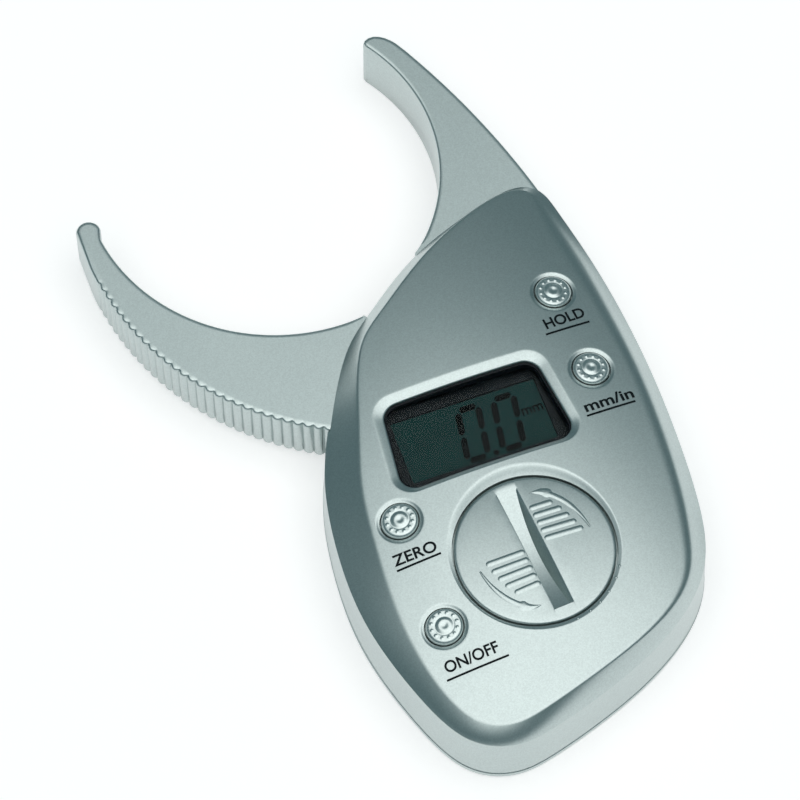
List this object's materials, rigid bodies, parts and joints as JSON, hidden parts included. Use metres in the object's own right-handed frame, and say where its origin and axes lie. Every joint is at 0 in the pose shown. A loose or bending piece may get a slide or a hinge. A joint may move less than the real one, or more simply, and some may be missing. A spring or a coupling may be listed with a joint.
{
  "type": "skinfold caliper",
  "caption": "Digital skinfold caliper: domed teardrop housing with display, keys, battery door, one fixed jaw and one sprung moving jaw with a scalloped thumb edge.",
  "frame": {"origin": "the axis of the jaw pivot on the flat back of the housing", "axes": "+X along the display's lower edge, +Y towards the jaws, +Z out of the face"},
  "size_m": [0.0883, 0.1439, 0.0193],
  "materials": {
    "silver_paint": "satin silver paint with fine metallic flake on moulded ABS",
    "key_silver": "glossy silver plated plastic",
    "steel": "bright turned steel",
    "spring_steel": "drawn spring wire",
    "nylon": "natural nylon",
    "rotor_board": "thin coded laminate with gold pads",
    "board_green": "green solder mask on glass laminate",
    "chip_black": "black moulded epoxy",
    "lcd": "reflective liquid crystal cell, dark green-grey",
    "frame_black": "black moulded plastic",
    "zebra": "layered conductive silicone rubber",
    "clear_window": "clear polished acrylic",
    "contact_plate": "nickel plated spring strip",
    "cell_steel": "nickel plated steel can"
  },
  "bodies": {
    "housing": {"front_cover": "silver_paint", "rear_housing": "silver_paint", "pivot_pin": "steel", "pivot_clip": "spring_steel", "thrust_washer": "nylon", "jaw_spring": "spring_steel", "circuit_board": "board_green", "controller_chip": "chip_black", "lcd_glass": "lcd", "lcd_frame": "frame_black", "zebra_strip": "zebra", "display_lens": "clear_window", "tact_switches": "chip_black", "coin_cell": "cell_steel", "contact_negative": "contact_plate", "contact_positive": "contact_plate", "housing_screws": "steel", "board_screws": "steel"},
    "jaw": {"moving_jaw": "silver_paint", "sensor_rotor": "rotor_board"},
    "door": {"battery_door": "silver_paint"},
    "button_hold": {"key_hold": "key_silver", "plunger_hold": "nylon"},
    "button_unit": {"key_unit": "key_silver", "plunger_unit": "nylon"},
    "button_zero": {"key_zero": "key_silver", "plunger_zero": "nylon"},
    "button_power": {"key_power": "key_silver", "plunger_power": "nylon"}
  },
  "joints": [
    {"name": "jaw_hinge", "type": "hinge", "parent": "housing", "child": "jaw", "pos_m": [0, 0, 0], "axis": [0, 0, 1], "range_deg": [-49.1, 0], "stiffness_Nm_per_rad": 0.03, "springref_deg": 28.65, "deforming": ["jaw_spring"]},
    {"name": "door_turn", "type": "hinge", "parent": "housing", "child": "door", "pos_m": [0.001, -0.037, 0], "axis": [0, 0, 1], "range_deg": [0, 60]},
    {"name": "hold_press", "type": "slide", "parent": "housing", "child": "button_hold", "axis": [0, 0, -1], "range_m": [0, 0.0005], "stiffness_N_per_m": 2500, "springref_m": -0.0003},
    {"name": "unit_press", "type": "slide", "parent": "housing", "child": "button_unit", "axis": [0, 0, -1], "range_m": [0, 0.0005], "stiffness_N_per_m": 2500, "springref_m": -0.0003},
    {"name": "zero_press", "type": "slide", "parent": "housing", "child": "button_zero", "axis": [0, 0, -1], "range_m": [0, 0.0005], "stiffness_N_per_m": 2500, "springref_m": -0.0003},
    {"name": "power_press", "type": "slide", "parent": "housing", "child": "button_power", "axis": [0, 0, -1], "range_m": [0, 0.0005], "stiffness_N_per_m": 2500, "springref_m": -0.0003}
  ]
}
